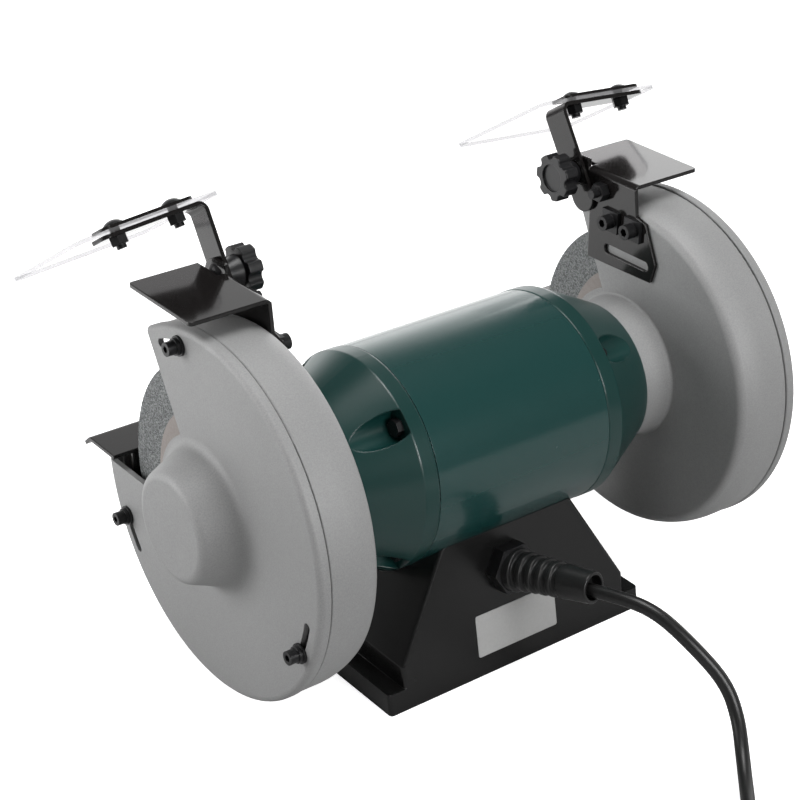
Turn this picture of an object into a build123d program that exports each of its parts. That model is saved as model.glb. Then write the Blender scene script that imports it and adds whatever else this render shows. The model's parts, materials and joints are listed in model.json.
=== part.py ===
from build123d import *
import math
import os

# Bench grinder with two wheels, in millimetres. +X runs along the motor axis to the
# operator's right, -Y is the operator's side, +Z is up. The origin lies on the bench,
# below the middle of the motor axis.

os.makedirs("parts", exist_ok=True)

# ---------------------------------------------------------------- driving sizes

axis_z = 115.0

# Motor
tube_half = 54.6
tube_r = 57.8
tube_wall = 4.0
bell_step = 0.2
bell_rim = 8.9
bell_len = 35.5
bell_cone = 27.0
bell_wall = 4.5
bell_edge = 5.0
spigot_len = 5.0
spigot_wall = 3.7
fit_gap = 0.1
pocket_d = 16.0
pocket_in = 5.3
pocket_boss = 11.0
pocket_angles = (45.0, 135.0, 225.0, 315.0)
tie_bolt_d = 5.0
tie_clear = 1.3
tie_head_d = 9.0
tie_head_h = 3.5
bearing_d = 40.0
bearing_bore = 17.0
bearing_w = 12.0
bearing_race = 3.2
bearing_ball_count = 8
washer_t = 0.8
nose_wall = 6.2
seal_gap = 1.0
housing_wall = 6.0
stator_half = 30.0
stator_bore = 30.4
air_gap = 0.4
winding_half = 44.0
winding_gap = 1.5
rotor_shaft_d = 24.0
rotor_ring = 4.0

# Shaft ends and wheel clamping
arbor_d = 14.0
wheel_d = 150.0
wheel_w = 20.0
wheel_bore = 20.0
wheel_gap = 6.0
flange_r = 28.0
flange_t = 4.5
flange_hub = 12.0
flange_hub_len = 8.5
flange_relief = 1.2
blotter_t = 0.5
blotter_r = 52.0
outer_flange_t = 5.0
nut_af = 22.0
nut_h = 10.0
arbor_past_nut = 3.0

# Wheel guards
hub_len = 17.0
hub_r = 38.5
hub_bore = 15.0
hub_core_r = 28.0
guard_wall = 3.5
guard_depth = 29.5
rim_wall = 3.0
rim_gap = 0.5
rim_edge = 0.8
crown_r = 30.0
crown_turn = 25.0
guard_corner = 5.0
hub_screw_d = 5.0
hub_screw_pitch = 33.5
hub_screw_grip = 8.0

# Guard covers
cover_r = 95.0
cover_step = 0.5
cover_depth = 6.5
cover_wall = 3.0
cover_edge = 3.0
boss_base_r = 36.0
boss_top_r = 27.5
boss_len = 20.5
boss_foot = 6.0
boss_edge = 5.0
opening_cover_deg = 120.0
opening_body_deg = 115.5
opening_cover_r = 41.0
opening_body_r = 43.5
opening_below = 10.7
cover_screw_in = 9.0
cover_screw_angles = (101.5, 205.5, 335.5)
cover_screw_d = 4.0
cover_screw_head_d = 7.0
cover_screw_head_h = 4.5
cover_washer_d = 10.2
cover_washer_t = 1.2
cover_lock_d = 8.5
cover_lock_t = 1.8
cover_post_r = 5.0
cover_screw_in_post = 12.0
bayonet_w = 4.2
bayonet_sweep = 12.0

# Folded brackets that carry the eye shields
sheet = 2.0
plate_clear = 9.0
plate_x = 158.5
plate_front = -50.3
plate_back = 4.5
plate_corner = 2.0
plate_bend = 3.5
leg_front = -29.5
leg_drop = 51.0
leg_heel = (19.5, 49.5)
leg_rear = (22.5, 38.5)
leg_notch = (13.5, 18.5)
leg_neck = (6.5, 16.5)
leg_shoulder = 20.5
fold_front = -32.0
plate_notch = 6.0
free_slot_len = 34.0
free_slot_w = 5.5
free_slot_y = 0.5
free_slot_drop = 41.5
bracket_screws_at = ((-11.5, 24.2), (5.5, 23.7))
screw_d = 5.0
screw_head_d = 8.0
screw_head_h = 5.5
screw_washer = 12.0
screw_washer_t = 2.0
pad_r = 6.0
pad_len = 4.0
stop_at = (-19.5, 10.0)
stop_len = 9.0
stop_nut_af = 9.0
stop_nut_h = 5.0

# Eye shields
pivot_y = -41.0
pivot_drop = 5.5
lug_r = 9.5
arm_tilt = 32.3
arm_w = 16.5
arm_t = 2.0
arm_droop = 4.5
arm_tail = 14.0
arm_rise = 36.9
arm_reach = 58.1
arm_fold = 3.0
arm_gap = 0.3
shield_w = 80.0
shield_len = 88.0
shield_t = 2.2
shield_back = 6.4
shield_start = 101.5
shield_corner = 6.0
clamp_start = 116.8
clamp_len = 51.5
clamp_t = 1.5
carriage_x = (126.0, 158.6)
carriage_d = 5.0
carriage_head_d = 11.0
carriage_head_h = 2.6
carriage_nut_af = 8.0
carriage_nut_h = 4.0
carriage_out = 2.0
pivot_d = 6.0
pivot_head_d = 14.0
pivot_head_h = 3.2
pivot_run = 0.05

# Star knobs
knob_d = 25.5
knob_lobes = 7
knob_notch_r = 3.0
knob_notch_pitch = 13.4
knob_round = 1.2
knob_edge = 0.6
knob_body = 8.0
knob_hub_r = 8.5
knob_hub_tip = 6.0
knob_len = 15.7
knob_dish_r = 7.5
knob_dish = 1.2
knob_bolt_in = 6.0

# Tool rests
rest_top = 114.5
rest_gap = 3.0
rest_front = -103.0
rest_end_x = 158.0
rest_lip = 5.0
rest_lip_drop = 4.6
rest_fold = 3.0
rest_corner = 4.0
rest_leg_back = -44.0
rest_leg_low = 82.0
rest_leg_top = 103.0
rest_slot_z = 92.0
rest_screw_y = (-57.0, -76.0)
rest_in = 1.5
rest_out = 6.0
rest_flange_x = (121.0, 147.0)
rest_flange_low = 96.0

# Base
foot_half = 84.3
foot_h = 11.6
foot_ledge = 10.0
waist_z = 23.0
neck_half = 42.3
neck_z = 77.5
foot_in = 0.4
neck_in = 14.1
base_wall = 3.0
base_edge = 2.0
saddle_wall = 3.5
bench_in = 14.3
bench_back = 15.4
bench_tap_r = 2.5
bench_tap = 10.0
bench_boss = 6.5
bench_boss_h = 14.0
plate_t = 2.0
plate_lift = 1.0
cover_post_x = 30.0
cover_post_in = 8.9
cover_post_h = 20.0
small_screw_d = 4.0
small_head_d = 7.0
small_screw_len = 12.0
motor_bolt_x = 41.0
motor_bolt_d = 6.0
motor_bolt_head = 10.0
motor_bolt_head_h = 4.0
motor_bolt_in = 3.5

# Electrical pieces
cap_d = 34.0
cap_len = 62.0
cap_centre = (-24.0, 8.0, 24.0)
strap_w = 14.0
strap_t = 1.5
strap_foot = 12.0
terminal_size = (30.0, 14.0, 14.0)
terminal_centre = (36.0, 22.0)
switch_z = 36.0
switch_w = 22.0
switch_h = 28.0
switch_deep = 19.0
bezel_over = 2.0
bezel_t = 2.0
rocker_r = 12.0
rocker_w = 14.0
rocker_tilt = 10.0
rocker_pivot_in = 4.0
gland_x = 3.0
gland_z = 54.8
gland_af = 24.0
gland_nut_h = 8.0
gland_thread_d = 15.0
gland_in = 9.0
gland_lock_af = 19.0
gland_lock_h = 4.0
relief_flange_d = 23.0
relief_flange_t = 2.5
relief_root_d = 21.5
relief_tip_d = 16.5
relief_bore_d = 13.0
relief_mouth = 6.0
relief_ribs = 5
relief_pitch = 6.1
relief_groove = 1.2
relief_edge = 0.8
cord_sag = 1.6

# Cord: chosen points of its route, then a coil of the put-away length
cord_d = 7.0
cord_route = [
    (-7.0, 96.5, 61.9),
    (-11.6, 117.2, 65.9),
    (-18.5, 136.0, 64.5),
    (-26.0, 154.5, 52.0),
    (-35.4, 169.4, 34.8),
    (-34.8, 180.2, 20.2),
    (-26.6, 192.7, 8.3),
    (-16.2, 205.8, 3.5),
    (-2.3, 221.7, 3.5),
    (8.2, 234.2, 3.5),
    (22.6, 253.4, 3.5),
]
coil_mid_r = 38.0
coil_columns = 2
coil_rows = 4
coil_column_pitch = 7.3
coil_lead = 18.0
tail_run = 22.0
plug_d = 36.0
plug_len = 30.0
plug_neck = 22.0
plug_neck_d = 13.0
plug_pin_d = 4.8
plug_pin_len = 19.0
plug_pin_pitch = 19.0

# ---------------------------------------------------------------- places that follow

joint_x = tube_half
bell_r = tube_r + bell_step
pocket_pitch = tube_r - pocket_in
tie_pitch = tube_r - tube_wall - tie_bolt_d / 2 - tie_clear
shoulder_x = joint_x + bell_rim
nose_x = shoulder_x + bell_len
nose_r = bell_r - bell_len * math.tan(math.radians(bell_cone))
wall_x = nose_x + hub_len
wall_in = wall_x + guard_wall
wheel_in = wall_in + wheel_gap
wheel_out = wheel_in + wheel_w
seam_x = wall_x + guard_depth
guard_r = cover_r - cover_step
cover_screw_pitch = cover_r - cover_screw_in
cover_x = seam_x + cover_depth
cover_in = cover_x - cover_wall
boss_x = cover_x + boss_len
bearing_out = nose_x - nose_wall - washer_t
bearing_in = bearing_out - bearing_w
flange_in = wheel_in - blotter_t - flange_t
flange_start = flange_in - flange_hub_len
outer_flange_x = wheel_out + blotter_t
nut_x = outer_flange_x + outer_flange_t
arbor_end = nut_x + nut_h + arbor_past_nut
plate_top = axis_z + cover_r + plate_clear + sheet
pivot_z = plate_top - pivot_drop
bracket_screws = [(y, plate_top - drop) for y, drop in bracket_screws_at]
stop_screw = (stop_at[0], plate_top - stop_at[1])
leg_x = wall_x - sheet
arm_x = leg_x - arm_gap - arm_t
knob_x = arm_x - knob_len
wheel_r = wheel_d / 2
rest_back = -(wheel_r + rest_gap)
rest_x = wall_x - sheet
waist_half = foot_half - foot_ledge
foot_deep = tube_r - foot_in
neck_deep = tube_r - neck_in
bench_y = foot_deep - bench_back
cover_post_y = foot_deep - cover_post_in
bench_x = foot_half - bench_in
panel_lean = math.degrees(math.atan((foot_deep - neck_deep) / neck_z))
coil_outer_turn = coil_mid_r + (coil_columns - 1) * coil_column_pitch / 2
cord_end = Vector(*cord_route[-1])
cord_way = (cord_end - Vector(*cord_route[-2])).normalized()
cord_side = Vector(-cord_way.Y, cord_way.X, 0)
coil_centre = cord_end + cord_way * coil_lead + cord_side * coil_outer_turn


# ---------------------------------------------------------------- helpers


def panel_y(z):
    """Depth of the front and rear panels of the base at a height."""
    return foot_deep - (foot_deep - neck_deep) * z / neck_z


def turned(points, radii=None):
    """Body of revolution about the motor axis from (x, radius) corners, each rounded."""
    corners = [(x, r) for x, r in points]
    if radii:
        outline = FilletPolyline(*corners, radius=list(radii), close=True)
    else:
        outline = Polyline(*corners, close=True)
    face = make_face(Plane.XZ * outline)
    return Pos(0, 0, axis_z) * revolve(face, Axis.X, 360)


def rod(x0, x1, r, y=0.0, z=axis_z):
    """Cylinder along X between two stations."""
    return Pos((x0 + x1) / 2, y, z) * Rot(0, 90, 0) * Cylinder(r, abs(x1 - x0))


def tube(x0, x1, r_out, r_in):
    """Ring about the motor axis between two stations."""
    return rod(x0, x1, r_out) - rod(x0, x1, r_in)


def hexagon(x0, x1, across, y=0.0, z=axis_z):
    """Hexagonal prism along X between two stations."""
    sketch = Plane(origin=(x0, y, z), x_dir=(0, 1, 0), z_dir=(1, 0, 0))
    sketch = sketch * RegularPolygon(across / math.sqrt(3), 6)
    return extrude(sketch, x1 - x0)


def slab_yz(outline, x0, x1):
    """Prism along X from a sketch drawn in (y, z)."""
    return extrude(Plane(origin=(x0, 0, 0), x_dir=(0, 1, 0), z_dir=(1, 0, 0)) * outline, x1 - x0)


def box(x0, x1, y0, y1, z0, z1):
    """Box between six planes."""
    return Pos((x0 + x1) / 2, (y0 + y1) / 2, (z0 + z1) / 2) * Box(x1 - x0, y1 - y0, z1 - z0)


def around(pitch_r, degrees):
    """Point (y, z) at a radius and an angle about the motor axis, from the rear upwards."""
    angle = math.radians(degrees)
    return pitch_r * math.cos(angle), axis_z + pitch_r * math.sin(angle)


def mirrored(solid):
    """The same piece on the left-hand side."""
    return mirror(solid, about=Plane.YZ)


def save(name, *pieces):
    """Write one node: each piece stays a solid of its own."""
    solids = []
    for piece in pieces:
        solids.extend(piece.solids())
    shape = solids[0] if len(solids) == 1 else Compound(solids)
    export_step(shape, f"parts/{name}.step")


def save_pair(name, *pieces):
    """Write a right-hand node and its left-hand mirror image."""
    save(f"{name}_right", *pieces)
    save(f"{name}_left", *[mirrored(piece) for piece in pieces])


def save_both(name, *pieces):
    """Write one node that holds the right-hand pieces and their mirror images."""
    save(name, *pieces, *[mirrored(piece) for piece in pieces])


def dome(r, height):
    """Domed screw head standing on the XY plane."""
    sphere_r = (r**2 + height**2) / (2 * height)
    half = math.asin(r / sphere_r) / 2
    middle = (sphere_r * math.sin(half), height - sphere_r * (1 - math.cos(half)))
    outline = Line((0, 0), (r, 0)) + ThreePointArc((r, 0), middle, (0, height))
    outline += Line((0, height), (0, 0))
    return revolve(Plane.XZ * make_face(outline), Axis.Z, 360)


def washer_plate(x1, y, z, size, hole):
    """Square plate washer whose outer face is at x1, on the motor side of a sheet."""
    plate = box(x1 - screw_washer_t, x1, y - size / 2, y + size / 2, z - size / 2, z + size / 2)
    return plate - rod(x1 - screw_washer_t, x1, hole, y, z)


def washer_ring(x0, x1, y, z, outer_d, inner_d):
    """Round washer about an axis along X."""
    return rod(x0, x1, outer_d / 2, y, z) - rod(x0, x1, inner_d / 2, y, z)


def cap_screw(x_seat, direction, y, z, d, head_d, head_h, shank):
    """Socket cap screw: head stands from the seat, shank runs the other way."""
    head = rod(x_seat, x_seat + direction * head_h, head_d / 2, y, z)
    socket = hexagon(0, head_h / 2, d * 0.8, y, z)
    start = head_h / 2 if direction > 0 else -head_h
    socket = Pos(x_seat + start, 0, 0) * socket
    return head - socket + rod(x_seat, x_seat - direction * shank, d / 2, y, z)


# ---------------------------------------------------------------- motor


def motor_tube():
    """Plain tube with two inner pads that take the motor bolts from below."""
    shell = tube(-tube_half, tube_half, tube_r, tube_r - tube_wall)
    pad_top = axis_z - tube_r + tube_wall + motor_bolt_in
    for x in (-motor_bolt_x, motor_bolt_x):
        pad = Pos(x, 0, (axis_z - tube_r + pad_top) / 2)
        pad = pad * Cylinder(motor_bolt_d, pad_top - (axis_z - tube_r))
        shell += pad & rod(-tube_half, tube_half, tube_r)
        shell -= Pos(x, 0, axis_z - tube_r) * Cylinder(motor_bolt_d / 2, 2 * (tube_wall + motor_bolt_in))
    return shell


def bell_line(x, inset=0.0):
    """Radius of the end shield's cone at a station, or of its inner face."""
    slope = math.tan(math.radians(bell_cone))
    return bell_r - (x - shoulder_x) * slope - inset / math.cos(math.radians(bell_cone))


def end_shield():
    """End shield: rim and cone outside, bearing housing inside, four scooped pockets."""
    spigot_r = tube_r - tube_wall - fit_gap
    rim_in = spigot_r - spigot_wall
    inner_x = nose_x - nose_wall
    cone_in = shoulder_x + (bell_r - rim_in - bell_wall / math.cos(math.radians(bell_cone))) / math.tan(
        math.radians(bell_cone)
    )
    housing_r = bearing_d / 2 + housing_wall
    corners = [
        (joint_x, bell_r),
        (shoulder_x, bell_r),
        (nose_x, nose_r),
        (nose_x, bearing_bore / 2 + seal_gap),
        (inner_x, bearing_bore / 2 + seal_gap),
        (inner_x, bearing_d / 2),
        (bearing_in, bearing_d / 2),
        (bearing_in, housing_r),
        (inner_x, housing_r),
        (inner_x, bell_line(inner_x, bell_wall)),
        (cone_in, rim_in),
        (joint_x - spigot_len, rim_in),
        (joint_x - spigot_len, spigot_r),
        (joint_x, spigot_r),
    ]
    radii = [0.8, 1.5, bell_edge] + [0] * 11
    shell = turned(corners, radii)
    envelope = turned(
        [(joint_x, 0), (joint_x, spigot_r), (shoulder_x, spigot_r), (nose_x, nose_r - 1), (nose_x, 0)]
    )
    for angle in pocket_angles:
        y, z = around(pocket_pitch, angle)
        shell += rod(joint_x, nose_x, pocket_boss, y, z) & envelope
    for angle in pocket_angles:
        y, z = around(pocket_pitch, angle)
        shell -= rod(shoulder_x, nose_x + 1, pocket_d / 2, y, z)
        y, z = around(tie_pitch, angle)
        shell -= rod(joint_x - spigot_len - 1, shoulder_x + 1, tie_bolt_d / 2 + fit_gap, y, z)
    shell -= rod(0, inner_x, bearing_d / 2)
    for angle in pocket_angles:
        y, z = around(hub_screw_pitch, angle + 45)
        shell -= rod(inner_x - 1, nose_x + 1, hub_screw_d / 2, y, z)
    return shell


def tie_bolts():
    """Four through bolts with hexagon heads on the right and nuts on the left."""
    pieces = []
    for angle in pocket_angles:
        y, z = around(tie_pitch, angle)
        bolt = rod(-shoulder_x - tie_head_h - 2, shoulder_x, tie_bolt_d / 2, y, z)
        head = hexagon(shoulder_x, shoulder_x + tie_head_h, tie_head_d * 0.9, y, z)
        nut = hexagon(-shoulder_x - tie_head_h, -shoulder_x, tie_head_d * 0.9, y, z)
        pieces.append(bolt + head)
        pieces.append(nut - rod(-shoulder_x - tie_head_h, -shoulder_x, tie_bolt_d / 2, y, z))
    return pieces


def stator():
    """Laminated core with grooves for the tie bolts, and a winding ring at each end."""
    core_r = tube_r - tube_wall - fit_gap
    core = tube(-stator_half, stator_half, core_r, stator_bore)
    for angle in pocket_angles:
        y, z = around(tie_pitch, angle)
        core -= rod(-stator_half, stator_half, tie_bolt_d / 2 + 1, y, z)
        y, z = around(tie_pitch + tie_bolt_d, angle)
        core -= rod(-stator_half, stator_half, tie_bolt_d / 2 + 1, y, z)
    inner = stator_bore + 2
    outer = tie_pitch - tie_bolt_d / 2 - winding_gap
    overhang = winding_half - stator_half
    ring = turned(
        [(stator_half, inner), (winding_half, inner), (winding_half, outer), (stator_half, outer)],
        [0, overhang / 3, overhang / 3, 0],
    )
    return core, ring


def bearing_parts():
    """Outer race, inner race and balls of the right-hand bearing, and its preload washer."""
    outer_in = bearing_d / 2 - bearing_race
    inner_out = bearing_bore / 2 + bearing_race
    outer = tube(bearing_in, bearing_out, bearing_d / 2, outer_in)
    inner = tube(bearing_in, bearing_out, inner_out, bearing_bore / 2)
    ball_r = (outer_in - inner_out) / 2 - 0.05
    balls = []
    for number in range(bearing_ball_count):
        y, z = around((outer_in + inner_out) / 2, number * 360 / bearing_ball_count)
        balls.append(Pos((bearing_in + bearing_out) / 2, y, z) * Sphere(ball_r))
    washer = tube(bearing_out, bearing_out + washer_t, bearing_d / 2 - 0.3, outer_in)
    return outer, inner, balls, washer


def shaft():
    """Stepped shaft, the same at both ends."""
    rotor_half = stator_half + rotor_ring
    half = [
        (0, rotor_shaft_d / 2),
        (rotor_half, rotor_shaft_d / 2),
        (rotor_half, bearing_bore / 2 + 1.5),
        (bearing_in, bearing_bore / 2 + 1.5),
        (bearing_in, bearing_bore / 2),
        (flange_start, bearing_bore / 2),
        (flange_start, arbor_d / 2),
        (arbor_end, arbor_d / 2),
    ]
    left = [(-x, r) for x, r in reversed(half[1:])]
    outline = [(-arbor_end, 0)] + left + half[1:] + [(arbor_end, 0)]
    return turned(outline)


def rotor_core():
    """Rotor packet with its end rings, pressed on the shaft."""
    core_r = stator_bore - air_gap
    packet = tube(-stator_half, stator_half, core_r, rotor_shaft_d / 2)
    ring = tube(stator_half, stator_half + rotor_ring, core_r - 3, rotor_shaft_d / 2)
    return packet + ring + mirrored(ring)


# ---------------------------------------------------------------- wheels on the shaft


def wheel():
    """Grinding wheel with a bored centre and slightly broken edges."""
    r = wheel_d / 2
    bore = wheel_bore / 2
    corners = [(wheel_in, bore), (wheel_in, r), (wheel_out, r), (wheel_out, bore)]
    return turned(corners, [0, 1.0, 1.0, 0])


def inner_flange():
    """Flange with a hub towards the motor and a pilot for the wheel's bore."""
    seat = flange_in + flange_t
    pilot_end = wheel_out - wheel_w / 4
    corners = [
        (flange_start, arbor_d / 2),
        (flange_start, flange_hub),
        (flange_in, flange_hub),
        (flange_in, flange_r),
        (seat, flange_r),
        (seat, flange_r - 8),
        (seat - flange_relief, flange_r - 8),
        (seat - flange_relief, wheel_bore / 2),
        (pilot_end, wheel_bore / 2),
        (pilot_end, arbor_d / 2),
    ]
    return turned(corners, [0, 1, 0, 1] + [0] * 6)


def blotter_pair():
    """Paper washers on both faces of the wheel."""
    inner = tube(wheel_in - blotter_t, wheel_in, blotter_r, wheel_bore / 2 + 1)
    outer = tube(wheel_out, wheel_out + blotter_t, blotter_r, wheel_bore / 2 + 1)
    return inner, outer


def outer_flange():
    """Dished outer flange, bearing on the wheel at its rim."""
    corners = [
        (outer_flange_x, flange_r),
        (outer_flange_x + outer_flange_t / 2, flange_r),
        (nut_x, flange_r - 8),
        (nut_x, arbor_d / 2),
        (outer_flange_x + flange_relief, arbor_d / 2),
        (outer_flange_x + flange_relief, flange_r - 8),
        (outer_flange_x, flange_r - 8),
    ]
    return turned(corners, [0, 1, 1, 0, 0, 0, 0])


def arbor_nut():
    """Hexagon nut that clamps the wheel."""
    nut = hexagon(nut_x, nut_x + nut_h, nut_af)
    return nut - rod(nut_x, nut_x + nut_h, arbor_d / 2)


# ---------------------------------------------------------------- guards and covers


def crown_outline(inset):
    """Outer (x, radius) corners of the guard from the seam round to its wall."""
    turn = math.radians(crown_turn)
    crown = crown_r - inset
    corner = max(guard_corner - inset, 1.0)
    x_wall = wall_x + (guard_wall if inset else 0)
    r_rim = guard_r - inset
    rim_x = seam_x - rim_gap
    run = crown * math.tan(turn / 2) + corner * math.tan((math.pi / 2 - turn) / 2) + 0.1
    x_turn = x_wall + run * math.cos(turn)
    r_wall = r_rim - run * math.sin(turn)
    return [(rim_x, r_rim), (x_turn, r_rim), (x_wall, r_wall)], [rim_edge, crown, corner]


def mouth(x0, x1, top_degrees, middle_r):
    """The work opening: above a level line, below a radial line, outside the middle."""
    level = axis_z - opening_below
    reach = guard_r * 1.5
    top = around(reach, top_degrees)
    corners = [
        (0.0, axis_z),
        top,
        (-reach, top[1]),
        (-reach, level),
        (0.0, level),
    ]
    wedge = slab_yz(make_face(Polyline(*corners, close=True)), x0, x1)
    return wedge - rod(x0, x1, middle_r)


def guard():
    """One casting: hub ring, wall and rim, with screw posts and pads inside."""
    outer, outer_radii = crown_outline(0)
    inner, inner_radii = crown_outline(rim_wall)
    corners = outer + [
        (wall_x, hub_r + 1),
        (nose_x, hub_r - 1),
        (nose_x, hub_core_r),
        (wall_x - 1, hub_core_r),
        (wall_x - 1, hub_bore),
        (wall_in, hub_bore),
    ]
    corners += list(reversed(inner))
    radii = outer_radii + [1.5, 1.0, 0, 1.5, 0, 0] + list(reversed(inner_radii))
    body = turned(corners, radii)
    body -= mouth(nose_x, seam_x + 1, opening_body_deg, opening_body_r)
    envelope = turned(outer + [(wall_x, 0), (seam_x - rim_gap, 0)], outer_radii + [0, 0])
    for angle in cover_screw_angles:
        y, z = around(cover_screw_pitch, angle)
        post = rod(wall_in, cover_in, cover_post_r, y, z)
        web = box(wall_in, seam_x - rim_gap, 0, guard_r - rim_wall / 2 - cover_screw_pitch, -3, 3)
        web = Pos(0, y, z) * Rot(angle, 0, 0) * web
        body += post + (web & envelope)
        body -= rod(wall_in, cover_in + 1, cover_screw_d / 2, y, z)
    for y, z in bracket_screws:
        body += rod(wall_in, wall_in + pad_len, pad_r, y, z)
        body -= rod(wall_x - 1, wall_in + pad_len + 1, screw_d / 2, y, z)
    for y in rest_screw_y:
        body -= rod(wall_x - 1, wall_in + 1, screw_d / 2, y, rest_slot_z)
    for angle in pocket_angles:
        y, z = around(hub_screw_pitch, angle + 45)
        body -= rod(nose_x, wall_in + 1, hub_screw_d / 2 + fit_gap, y, z)
        body -= rod(nose_x + hub_screw_grip, wall_in + 1, hub_screw_d * 0.85 + 0.3, y, z)
    return body


def hub_screws():
    """Four cap screws that hold the guard's hub on the end shield."""
    screws = []
    seat = nose_x + hub_screw_grip
    for angle in pocket_angles:
        y, z = around(hub_screw_pitch, angle + 45)
        shank = hub_screw_grip + nose_wall
        screws.append(
            cap_screw(seat, 1, y, z, hub_screw_d, hub_screw_d * 1.7, hub_screw_d, shank)
        )
    return screws


def cover():
    """Outer cover with a domed boss over the nut and three arc slots for its screws."""
    boss_in = boss_x - cover_wall
    corners = [
        (seam_x, cover_r),
        (cover_x, cover_r),
        (cover_x, boss_base_r),
        (boss_x, boss_top_r),
        (boss_x, 0),
        (boss_in, 0),
        (boss_in, boss_top_r - cover_wall),
        (cover_in, boss_base_r - cover_wall),
        (cover_in, cover_r - rim_wall),
        (seam_x, cover_r - rim_wall),
    ]
    radii = [rim_edge, cover_edge, boss_foot, boss_edge, 0, 0, 2, 2, 1, 0]
    body = turned(corners, radii)
    body -= mouth(seam_x - 1, boss_x, opening_cover_deg, opening_cover_r)
    for angle in cover_screw_angles:
        arc = CenterArc((0, 0), cover_screw_pitch, angle, bayonet_sweep)
        slot = Pos(0, axis_z) * SlotArc(arc, bayonet_w)
        body -= slab_yz(slot, cover_in - 1, cover_x + 1)
    return body


def cover_screw_set():
    """Cap screws, lock washers and flat washers that hold the cover."""
    pieces = []
    lock_x = cover_x + cover_washer_t
    seat = lock_x + cover_lock_t
    for angle in cover_screw_angles:
        y, z = around(cover_screw_pitch, angle)
        pieces.append(washer_ring(cover_x, lock_x, y, z, cover_washer_d, cover_screw_d))
        pieces.append(washer_ring(lock_x, seat, y, z, cover_lock_d, cover_screw_d))
        length = seat - cover_x + cover_wall + cover_screw_in_post
        pieces.append(
            cap_screw(
                seat, 1, y, z, cover_screw_d, cover_screw_head_d, cover_screw_head_h, length
            )
        )
    return pieces


# ---------------------------------------------------------------- brackets and shields


def bracket():
    """Folded sheet: a leg on the guard's wall, a plate over the wheel, a pivot lug."""
    leg_outline = make_face(
        Polyline(
            (plate_back, plate_top - sheet),
            (leg_neck[0], plate_top - leg_neck[1]),
            (leg_notch[0], plate_top - leg_notch[1]),
            (leg_rear[0], plate_top - leg_rear[1]),
            (leg_heel[0], plate_top - leg_heel[1]),
            (leg_front, plate_top - leg_drop),
            (leg_front, plate_top - leg_shoulder),
            (pivot_y, pivot_z - lug_r),
            (pivot_y, pivot_z + lug_r),
            (fold_front, pivot_z + lug_r),
            (fold_front, plate_top - sheet),
            close=True,
        )
    )
    leg = slab_yz(leg_outline, leg_x, wall_x)
    leg += rod(leg_x, wall_x, lug_r, pivot_y, pivot_z)
    fold = Polyline(
        (leg_x, plate_top - 3 * sheet),
        (leg_x, plate_top),
        (plate_x, plate_top),
        (plate_x, plate_top - sheet),
        (wall_x, plate_top - sheet),
        (wall_x, plate_top - 3 * sheet),
        close=True,
    )
    plate = extrude(Plane.XZ * make_face(fold), -(plate_back - fold_front))
    plate = Pos(0, fold_front, 0) * plate
    nose = box(leg_x + plate_notch, plate_x, plate_front, fold_front, plate_top - sheet, plate_top)
    plate += nose
    outer_edge = plate.edges().filter_by(Axis.Y).sort_by(Axis.X)[0:2].sort_by(Axis.Z)[-1]
    plate = fillet(outer_edge, plate_bend)
    corners = plate.edges().filter_by(Axis.Z).group_by(Axis.X)[-1]
    plate = fillet(corners, plate_corner)
    body = leg + plate
    slot = Pos(free_slot_y, plate_top - free_slot_drop) * SlotOverall(free_slot_len, free_slot_w)
    body -= slab_yz(slot, leg_x, wall_x)
    for y, z in bracket_screws:
        body -= rod(leg_x, wall_x, screw_d / 2 + 0.3, y, z)
    body -= rod(leg_x, wall_x, pivot_d / 2, pivot_y, pivot_z)
    body -= rod(leg_x, wall_x, screw_d / 2, *stop_screw)
    return body


def bracket_screw_set():
    """Two cap screws with square plate washers on the bracket's leg."""
    pieces = []
    for y, z in bracket_screws:
        pieces.append(washer_plate(leg_x, y, z, screw_washer, screw_d / 2))
        shank = screw_washer_t + sheet + guard_wall + pad_len - 1
        pieces.append(
            cap_screw(
                leg_x - screw_washer_t, -1, y, z, screw_d, screw_head_d, screw_head_h, shank
            )
        )
    return pieces


def stop_screw_set():
    """Adjusting screw that the shield's arm comes against, with its lock nut."""
    y, z = stop_screw
    screw = rod(leg_x - stop_len, wall_x + 1, screw_d / 2, y, z)
    nut = hexagon(leg_x - stop_nut_h, leg_x, stop_nut_af, y, z)
    nut -= rod(leg_x - stop_nut_h, leg_x, screw_d / 2, y, z)
    return screw, nut


def tilted(solid):
    """Turn a piece drawn upright over the pivot to the shield's resting tilt."""
    return Pos(0, pivot_y, pivot_z) * Rot(arm_tilt, 0, 0) * solid


def drooped(solid):
    """Lower the outer end of a piece drawn level on the arm's fold."""
    return Pos(arm_x, 0, arm_rise) * Rot(0, arm_droop, 0) * Pos(-arm_x, 0, -arm_rise) * solid


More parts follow.
